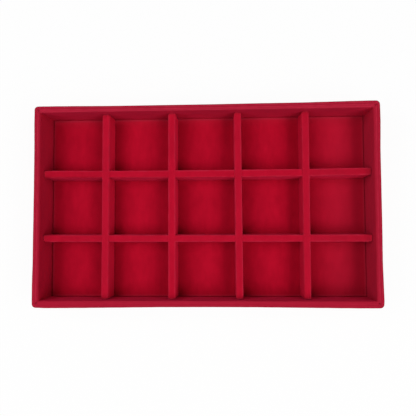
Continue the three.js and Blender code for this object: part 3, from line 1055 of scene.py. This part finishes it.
def sleeve_section(half, low, high, foot_radius, top_radii, seam, lap, step):
    """A sleeve's section from one edge of its seam, round over its top, to the other edge.

    It also gives the two rows at which the section passes the lap, where the slots end."""
    foot, first_crown, last_crown = (
        min(max(radius, LEAST_RADIUS), max(half, 0)) for radius in (foot_radius, *top_radii)
    )
    corners = ((-seam, low), (-half, low), (-half, high), (half, high), (half, low), (seam, low))
    radii = (0, foot, first_crown, last_crown, foot, 0)
    count = max(2, round(SIDE_ROWS_HEIGHT / step))
    sides = []
    for crown in (first_crown, last_crown):
        mark = np.clip((lap - low - foot) / (high - low - foot - crown), *LAP_RANGE)
        upper = np.linspace(mark, 1, count + 1)[1:]
        sides.append(np.concatenate([np.linspace(0, mark, count + 1), upper]))
    rising, falling = sides[0], 1 - sides[1][::-1]
    bottom, top = np.linspace(0, 1, BOTTOM_POINTS), np.linspace(0, 1, TOP_POINTS)
    path, outward = bent_path(corners, radii, DIVIDER_WALK, (bottom, rising, top, falling, bottom))
    first_lap = len(bottom) + ARC_STEPS - 1 + count
    return path, outward, first_lap, len(path) - 1 - first_lap


def ring_places(sizes, end, crossings):
    """Places of the rings along a sleeve's straight stretch, closer together at the slots."""
    stations = [sizes.divider_end_radius - end, end - sizes.divider_end_radius]
    for place, width in crossings:
        for gap in SLOT_RINGS:
            stations += [place - width - gap * MM, place + width + gap * MM]
        stations += list(np.linspace(place - width, place + width, RINGS_INSIDE)[1:-1])
    stations = np.array(sorted(stations))
    filled = []
    for a, b in zip(stations[:-1], stations[1:]):
        filled += list(np.linspace(a, b, max(2, math.ceil((b - a) / sizes.step) + 1))[:-1])
    return np.array(filled + [stations[-1]])


def end_rings(straight, radius, half_width, end, cover):
    """Place along a sleeve, and inset of its section, for each ring: its flat end first."""
    turn = np.linspace(0, math.pi / 2, END_RINGS + 2)
    flat = np.linspace(half_width, radius, END_RINGS)[:-1]
    rounding = radius * (1 - np.sin(turn))
    reach = radius * (1 - np.cos(turn))
    first = [(cover - end, inset) for inset in flat]
    first += [(cover - end + r, inset) for r, inset in zip(reach, rounding)][:-1]
    last = [(-place, inset) for place, inset in reversed(first)]
    return first + [(place, 0.0) for place in straight] + last


def sleeve_marks(lay, outer, normal, half, end, height, above_foot, apart, fold, opens_up, seed):
    """The velvet's marks on a divider."""
    place = outer[..., 0]
    upward = np.clip(normal[..., 2], 0, 1)
    from_end = end - np.abs(place)
    side_wear_and_sheen, top_wear_and_sheen = lay["worn"]
    below_top = (height - above_foot) / TOP_WEAR_DEPTH
    wear = np.maximum(top_wear_and_sheen * np.clip(1 - below_top, 0, 1), side_wear_and_sheen)
    patches = ripple(outer + seed * MM, RUBBED_PATCH, seed + 5)
    rubbing = EDGE_EVENLY + (1 - EDGE_EVENLY) * patches
    # Pale lines along the top edges, rubbed pile and painted highlight, dimmed at the crossings
    from_edge = np.minimum(half - np.abs(outer[..., 1]), from_end)
    crest = EDGE_CREST * bell(from_edge - EDGE_PLACE, RUBBED_WIDTH)
    crest = crest * rubbing * smooth(2 * upward - EDGE_UPRIGHT)
    crest = crest * (1 - CROSSING_FADE * smooth(-apart / CROSSING_REACH))
    # Painted light and shade on top of each tip, with a painted highlight where it is light
    tip = bell(from_end, TIP_REACH) * upward
    tip_painted_light_and_shade = np.where(place < 0, *lay["tips"])
    tip_painted_light = tip * np.clip(tip_painted_light_and_shade, 0, 1)
    # Painted light and shade on top and on each side
    combed = TOP_PAINTED_LIGHT * upward**2 + tip_painted_light_and_shade * tip
    for side, ends in zip((-1, 1), lay["combed"]):
        combed = combed + np.clip(side * normal[..., 1], 0, 1) * np.interp(place, (-end, end), ends)
    # Painted shade and more wear towards the ends of the long ones
    if opens_up:
        to_end = smooth((np.abs(place) / end - LONG_END_START) / LONG_END_RUN) * upward
        combed = combed + LONG_END_PAINTED_SHADE * to_end
        wear = wear + LONG_END_WEAR * to_end * (place > 0)
    return {
        "combed": combed,
        "wear": wear * (1 - tip_painted_light),
        "crest": np.clip(crest + TIP_CREST * tip_painted_light, 0, 1),
        "fold": np.maximum(fold, FOOT_SHADE * smooth(1 - above_foot / FOOT_SHADE_HEIGHT)),
    }


def sleeve(sizes, name, lay, inner_half, crossings, opens_up, material, seed):
    """One divider's velvet sleeve, with the slots through which the crossing ones pass.

    inner_half is half the distance between the walls that it runs between, and crossings holds
    the middle and half width of each slot along the divider."""
    low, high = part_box(name + "_velvet")
    runs_back = high.y - low.y > high.x - low.x
    middle = (low + high) / 2
    end = inner_half - sizes.end_gap
    half = ((high.x - low.x) if runs_back else (high.y - low.y)) / 2
    lap = (low.z + high.z) / 2
    thickness = sizes.thickness

    def crown_radii(place):
        """The radii along the top: smaller where a long divider crosses a short one."""
        crowns = np.array([np.interp(place, (-end, end), edge) for edge in lay["crowns"]])
        rounder = TIP_CROWN * bell(end - abs(place), TIP_CROWN_REACH)
        crowns = np.minimum(crowns * sizes.divider_top_radius + rounder, MOST_CROWN)
        if opens_up:
            return crowns
        apart = min(abs(place - slot_middle) - width for slot_middle, width in crossings)
        return crowns * (1 - (1 - SLOT_CROWN) * smooth(1 - apart / SLOT_CROWN_REACH))

    def built(radius, half_width, cover):
        points, normals = [], []
        for place, inset in end_rings(straight, radius, half_width, end, cover):
            path, outward, first_lap, last_lap = sleeve_section(
                half_width - inset,
                low.z + cover + inset,
                high.z - cover - TIP_LEVEL * inset,
                sizes.divider_foot_radius - cover - inset,
                crown_radii(place) - cover - inset,
                sizes.seam / 2 * max(1 - inset / half_width, 0),
                lap,
                sizes.step,
            )
            points.append(np.stack([np.full(len(path), place), path[:, 0], path[:, 1]], axis=1))
            normals.append(np.stack([np.zeros(len(path)), outward[:, 0], outward[:, 1]], axis=1))
        return np.array(points), np.array(normals), first_lap, last_lap

    straight = ring_places(sizes, end, crossings)
    radius = sizes.divider_end_radius
    outer, normal, first_lap, last_lap = built(radius, half, 0)
    inner = built(max(radius - thickness, LEAST_RADIUS), half - thickness, thickness)[0]

    # The rounded mouths of the slots, or the squeezed waist where a slot takes this sleeve, each
    # with painted shade lines at its edges
    place = outer[..., 0]
    above = smooth((outer[..., 2] - lap) / LAP_FADE)
    pull = np.zeros(place.shape)
    fold = np.zeros(place.shape)
    for slot_middle, width in crossings:
        apart = np.abs(place - slot_middle) - width
        if opens_up:
            turn = np.clip(1 - apart / sizes.slot_reach, 0, 1)
            drawn = sizes.slot_rounding * (1 - np.sqrt(np.maximum(1 - turn**2, 0)))
            line = smooth(1 - apart / SLOT_SHADE_REACH)
        else:
            drawn = sizes.waist * smooth(1 - apart / WAIST_REACH)
            line = bell(apart + WAIST_LINE, WAIST_LINE_WIDTH) * smooth(1 - normal[..., 2])
        pull = np.maximum(pull, drawn * above)
        fold = np.maximum(fold, line * above * SLOT_SHADE)
    from_slots = [np.abs(place - slot_middle) - width for slot_middle, width in crossings]
    apart = np.min(from_slots, axis=0)
    above_foot = outer[..., 2] - low.z
    spread = sizes.flare * smooth(1 - above_foot / sizes.flare_height) * smooth(apart / FLARE_FADE)
    upright = normal.copy()
    if not opens_up:
        upright[..., 2] *= WAIST_ON_TOP
    moved = outer - upright * pull[..., None]
    moved[..., 1] += spread * np.sign(outer[..., 1]) * (np.abs(normal[..., 1]) > 0.5)
    nap_shift = np.array([0, 0, seed * NAP_SHIFT])
    moved = napped(sizes, moved + nap_shift, normal, seed) - nap_shift

    sideways = drift(lay, place, end)
    moved[..., 1] += -sideways if runs_back else sideways
    bend = 2 * np.abs(normal[..., 1] * normal[..., 2])
    largest = sizes.divider_top_radius * np.max(lay["crowns"]) + TIP_CROWN
    cut = max(ROUND_CORNER * min(largest, MOST_CROWN) - BOARD_CORNER, 0)
    moved = keep_cover(outer, moved, normal, thickness - sizes.least_cover - bend * cut)

    between = (place[:-1, 0] + place[1:, 0]) / 2
    column = np.arange(outer.shape[1] - 1)
    upper = (column >= first_lap) & (column < last_lap)
    kept = np.ones((len(between), len(column)), bool)
    for slot_middle, width in crossings:
        inside = np.abs(between - slot_middle) < width - SLOT_EDGE
        kept &= ~(inside[:, None] & (upper if opens_up else ~upper)[None])
    height = high.z - low.z
    marks = sleeve_marks(
        lay, outer, normal, half, end, height, above_foot, apart, fold, opens_up, seed
    )
    for grid in (moved, inner):
        along, side = grid[..., 0].copy(), grid[..., 1].copy()
        if runs_back:
            grid[..., 0], grid[..., 1] = middle.x - side, along
        else:
            grid[..., 1] = middle.y + side
    piece = cloth_object(name + "_cloth", moved, inner, marks, material, kept, welded_ends=True)
    stands_for(piece, GRID, name + "_velvet")


def dress_dividers(sizes, measures, material):
    """All the dividers' sleeves, each with slots where the others really cross it."""
    shorts, longs, short_x, long_y = divider_places()
    low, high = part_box(longs[0] + "_velvet")
    half = (high.y - low.y) / 2
    inner_length = measures["half_length"] - measures["wall"]
    inner_width = measures["half_width"] - measures["wall"]
    kinds = (
        (shorts, SHORT_LAY, short_x, inner_width, LONG_LAY, long_y, inner_length),
        (longs, LONG_LAY, long_y, inner_length, SHORT_LAY, short_x, inner_width),
    )
    for names, lays, places, inner, others, other_places, other_inner in kinds:
        opens_up = names is longs
        width = half - (sizes.waist if opens_up else 0) + sizes.slot_clearance
        first_seed = LONG_SEED if opens_up else SHORT_SEED
        for k, name in enumerate(names):
            crossings = []
            for lay, place in zip(others, other_places):
                lies = place + drift(lay, places[k], other_inner - sizes.end_gap)
                crossings.append((lies, width))
            seed = first_seed + SEED_STEP * k
            sleeve(sizes, name, lays[k], inner, crossings, opens_up, material, seed)


# Loose threads in the gaps at the two ends of the floor pad: how far along the gap each lies, as
# a share of the pad's width from its middle, and how far that may vary; how much it leans; its
# least and greatest length, as a share of the usual; and how it curls.

THREAD_SHARES = (-0.86, -0.79, -0.62, -0.55, -0.31, -0.12, 0.04, 0.22, 0.37, 0.6, 0.63, 0.82, 0.9)
THREAD_SCATTER, THREAD_LEAN, THREAD_CURL = 0.03, 0.7, 1.5
THREAD_LENGTHS = (0.5, 1.2)
CURL_SWING, CURL_TURNS = 0.12, 3
# How far a thread reaches out of the pad from its root and how it bends on the way, how deep its
# root lies, how far it rises, and how thin its ends are
THREAD_REACH, REACH_BEND, ROOT_INSIDE = 1.4 * MM, 0.6, 0.3 * MM
ROOT_DEPTH, THREAD_RISE, RISE_BEND = 0.35 * MM, 0.55 * MM, 0.9
THREAD_TIP = 0.35


def thread_mesh(shape, path, radius):
    """Adds a thin closed tube along a path, tapered at both ends."""
    rings = []
    count = len(path)
    corners = range(THREAD_SIDES)
    for k, point in enumerate(path):
        ahead = path[min(k + 1, count - 1)] - path[max(k - 1, 0)]
        ahead /= np.linalg.norm(ahead)
        side = np.cross(ahead, [0, 0, 1])
        side /= np.linalg.norm(side)
        up = np.cross(side, ahead)
        middle = math.sin(math.pi * (k + 0.5) / count)
        taper = radius * (THREAD_TIP + (1 - THREAD_TIP) * middle)
        angles = [2 * math.pi * corner / THREAD_SIDES for corner in corners]
        offsets = [side * math.cos(angle) + up * math.sin(angle) for angle in angles]
        rings.append([shape.verts.new(point + offset * taper) for offset in offsets])
    for first, second in zip(rings[:-1], rings[1:]):
        for corner in corners:
            after = (corner + 1) % THREAD_SIDES
            shape.faces.new((first[corner], first[after], second[after], second[corner]))
    shape.faces.new(list(reversed(rings[0])))
    shape.faces.new(rings[-1])


def loose_threads(sizes, side, material, seed):
    """Frayed threads along one cut end of the floor's velvet."""
    low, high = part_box("floor_velvet")
    rng = np.random.default_rng(seed)
    out = -1 if side == "left" else 1
    edge = low.x if out < 0 else high.x
    middle, half = (low.y + high.y) / 2, (high.y - low.y) / 2
    shape = bmesh.new()
    for share in THREAD_SHARES:
        place = middle + half * (share + rng.uniform(-THREAD_SCATTER, THREAD_SCATTER))
        lean = rng.uniform(-THREAD_LEAN, THREAD_LEAN)
        run = sizes.thread_length * rng.uniform(*THREAD_LENGTHS)
        curl = rng.uniform(-THREAD_CURL, THREAD_CURL)
        steps = np.linspace(0, 1, THREAD_POINTS)
        reach = THREAD_REACH * np.sin(steps * math.pi * REACH_BEND)
        swing = CURL_SWING * np.sin(curl * CURL_TURNS * steps)
        rise = THREAD_RISE * np.sin(steps * math.pi * RISE_BEND)
        path = [
            edge + out * (reach - ROOT_INSIDE),
            place + run * (lean * steps + swing),
            high.z - ROOT_DEPTH + rise,
        ]
        thread_mesh(shape, np.stack(path, axis=1), sizes.thread_radius)
    bmesh.ops.recalc_face_normals(shape, faces=shape.faces[:])
    name = side + "_loose_threads"
    mesh = bpy.data.meshes.new(name)
    shape.to_mesh(mesh)
    shape.free()
    mesh.polygons.foreach_set("use_smooth", [True] * len(mesh.polygons))
    mesh.materials.append(material)
    piece = added(name, mesh)
    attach(piece, TRAY)


# Stage

# How much of the floor that the camera sees is its own plain white, rather than lit and shaded
SEEN_WHITE = 0.94
# Each soft lamp: its direction from the tray, counted from +X, its height above the level, both in
# degrees, its size, and which setting holds its power.
LAMPS = {
    "left_lamp": (180, 50, (1.0, 0.5), "left_power"),
    "right_lamp": (0, 50, (1.0, 0.5), "right_power"),
    "high_lamp": (180, 70, (1.0, 0.5), "high_power"),
    "corner_lamp": (-45, 50, (0.8, 0.8), "corner_power"),
}
LAMP_DISTANCE = 1.2
SENSOR_WIDTH = 36
WHITE = (1, 1, 1, 1)


def white_floor(stage):
    """A white floor that keeps the tray's shadow."""
    shape = bmesh.new()
    bmesh.ops.create_grid(shape, x_segments=2, y_segments=2, size=stage.floor_size / 2)
    mesh = bpy.data.meshes.new("white_floor")
    shape.to_mesh(mesh)
    shape.free()
    floor = added("white_floor", mesh)
    floor.location.z = -stage.floor_drop
    material = bpy.data.materials.new("white_floor")
    material.use_nodes = True
    tree = material.node_tree
    tree.nodes.clear()
    lit = node(tree, "ShaderNodeBsdfDiffuse", {}, {"Color": WHITE})
    white = node(tree, "ShaderNodeEmission", {}, {"Strength": 1.0})
    seen = seen_rays(tree) * SEEN_WHITE
    shader = node(tree, "ShaderNodeMixShader", {}, {0: seen, 1: lit, 2: white})
    mesh.materials.append(surface(material, tree, shader))


def seen_rays(tree):
    """1 for what the camera sees directly, in a reflection or through glass, and 0 otherwise."""
    rays = [
        node(tree, "ShaderNodeLightPath", {}, {}, output=name)
        for name in ("Is Camera Ray", "Is Glossy Ray", "Is Transmission Ray")
    ]
    return rays[0].highest(rays[1]).highest(rays[2])


def white_world(stage):
    """Even light from all round, which is plain white where it is seen."""
    world = bpy.data.worlds.new("white_world")
    bpy.context.scene.world = world
    world.use_nodes = True
    tree = world.node_tree
    tree.nodes.clear()
    light, white = (
        node(tree, "ShaderNodeBackground", {}, {"Color": WHITE, "Strength": strength})
        for strength in (stage.sky, 1.0)
    )
    shader = node(tree, "ShaderNodeMixShader", {}, {0: seen_rays(tree), 1: light, 2: white})
    out = tree.nodes.new("ShaderNodeOutputWorld")
    tree.links.new(shader.socket, out.inputs["Surface"])


def soft_lamps(stage):
    """Soft lamps aimed at the tray, most of them from its two sides."""
    for name, (direction, height, size, setting) in LAMPS.items():
        turn, rise = math.radians(direction), math.radians(height)
        level, up = LAMP_DISTANCE * math.cos(rise), LAMP_DISTANCE * math.sin(rise)
        light = bpy.data.lights.new(name, "AREA")
        light.shape = "RECTANGLE"
        light.size, light.size_y = size
        light.energy = getattr(stage, setting)
        lamp = added(name, light)
        lamp.location = (level * math.cos(turn), level * math.sin(turn), up)
        lamp.rotation_euler = (math.pi / 2 - rise, 0, turn + math.pi / 2)


def photo_camera(stage):
    """The camera where the photograph was taken from: nearly straight above the tray."""
    data = bpy.data.cameras.new("photo_camera")
    data.lens = stage.lens
    data.sensor_width = SENSOR_WIDTH
    camera = added("photo_camera", data)
    camera.location = stage.camera_place
    camera.rotation_euler = stage.camera_turn
    bpy.context.scene.camera = camera


def clear_startup_objects():
    """Takes away whatever was in the scene before the frame was loaded."""
    kept = set(frame["bodies"].values()) | set(frame["nodes"].values())
    for thing in list(bpy.data.objects):
        if thing not in kept:
            bpy.data.objects.remove(thing)


# Operators


class TRAY_OT_stage(bpy.types.Operator):
    """Set the camera, the soft light and the white floor"""

    bl_idname = "tray.stage"
    bl_label = "Stage"

    def execute(self, context):
        stage = context.scene.tray_stage
        clear_startup_objects()
        context.scene.view_settings.view_transform = "Standard"
        photo_camera(stage)
        soft_lamps(stage)
        white_world(stage)
        white_floor(stage)
        return {"FINISHED"}


class TRAY_OT_walls(bpy.types.Operator):
    """Cover the four walls in velvet"""

    bl_idname = "tray.walls"
    bl_label = "Wall velvet"

    def execute(self, context):
        sizes, measures = context.scene.tray_cloth, tray_measures()
        for k, side in enumerate(WALLS):
            wall_cloth(sizes, measures, side, velvet(context), WALL_SEED + SEED_STEP * k)
        return {"FINISHED"}


class TRAY_OT_floor_pad(bpy.types.Operator):
    """Cover the floor pad in velvet, with loose threads at its cut ends"""

    bl_idname = "tray.floor_pad"
    bl_label = "Floor velvet"

    def execute(self, context):
        sizes = context.scene.tray_cloth
        floor_cloth(sizes, velvet(context), FLOOR_SEED)
        for side, seed in THREAD_SEEDS.items():
            loose_threads(sizes, side, velvet(context), seed)
        return {"FINISHED"}


class TRAY_OT_dividers(bpy.types.Operator):
    """Cover the loose grid of dividers in velvet sleeves"""

    bl_idname = "tray.dividers"
    bl_label = "Divider velvet"

    def execute(self, context):
        dress_dividers(context.scene.tray_cloth, tray_measures(), velvet(context))
        return {"FINISHED"}


class TRAY_OT_boards(bpy.types.Operator):
    """Give the boards and cards inside their raw finishes"""

    bl_idname = "tray.boards"
    bl_label = "Boards and cards"

    def execute(self, context):
        colours = context.scene.tray_colours
        board = board_material(colours)
        card = card_material(colours)
        underside = underside_material(colours)
        for name, thing in frame["nodes"].items():
            if name == "underside_card":
                bare = underside
            elif name == "floor_card":
                bare = card
            elif name.endswith(("_board", "_rail")):
                bare = board
            else:
                continue
            thing.data.materials.clear()
            thing.data.materials.append(bare)
        return {"FINISHED"}


def velvet(context):
    """The one velvet that all the cloths share."""
    found = bpy.data.materials.get("red_velvet")
    return found or velvet_material(context.scene.tray_colours)


class TRAY_PT_pieces(bpy.types.Panel):
    """Lists the tray's settings and the steps that dress it"""

    bl_idname = "TRAY_PT_pieces"
    bl_label = "Jewelry display tray"
    bl_space_type = "VIEW_3D"
    bl_region_type = "UI"
    bl_category = "Tray"

    def draw(self, context):
        layout = self.layout
        for step in STEPS:
            layout.operator(step.bl_idname)
        for setting in GROUPS:
            group = getattr(context.scene, setting)
            box = layout.box()
            for key in group.bl_rna.properties.keys():
                if key not in ("rna_type", "name"):
                    box.prop(group, key)


STEPS = (TRAY_OT_stage, TRAY_OT_boards, TRAY_OT_walls, TRAY_OT_floor_pad, TRAY_OT_dividers)
GROUPS = {"tray_cloth": TrayClothSizes, "tray_colours": TrayColours, "tray_stage": TrayStage}


def register():
    for group in GROUPS.values():
        bpy.utils.register_class(group)
    for step in (*STEPS, TRAY_PT_pieces):
        bpy.utils.register_class(step)
    for key, group in GROUPS.items():
        setattr(bpy.types.Scene, key, PointerProperty(type=group))


def unregister():
    for key in GROUPS:
        delattr(bpy.types.Scene, key)
    for step in (TRAY_PT_pieces, *reversed(STEPS)):
        bpy.utils.unregister_class(step)
    for group in reversed(GROUPS.values()):
        bpy.utils.unregister_class(group)


def main():
    register()
    bpy.ops.tray.stage()
    bpy.ops.tray.boards()
    bpy.ops.tray.walls()
    bpy.ops.tray.floor_pad()
    bpy.ops.tray.dividers()


if __name__ == "__main__":
    main()
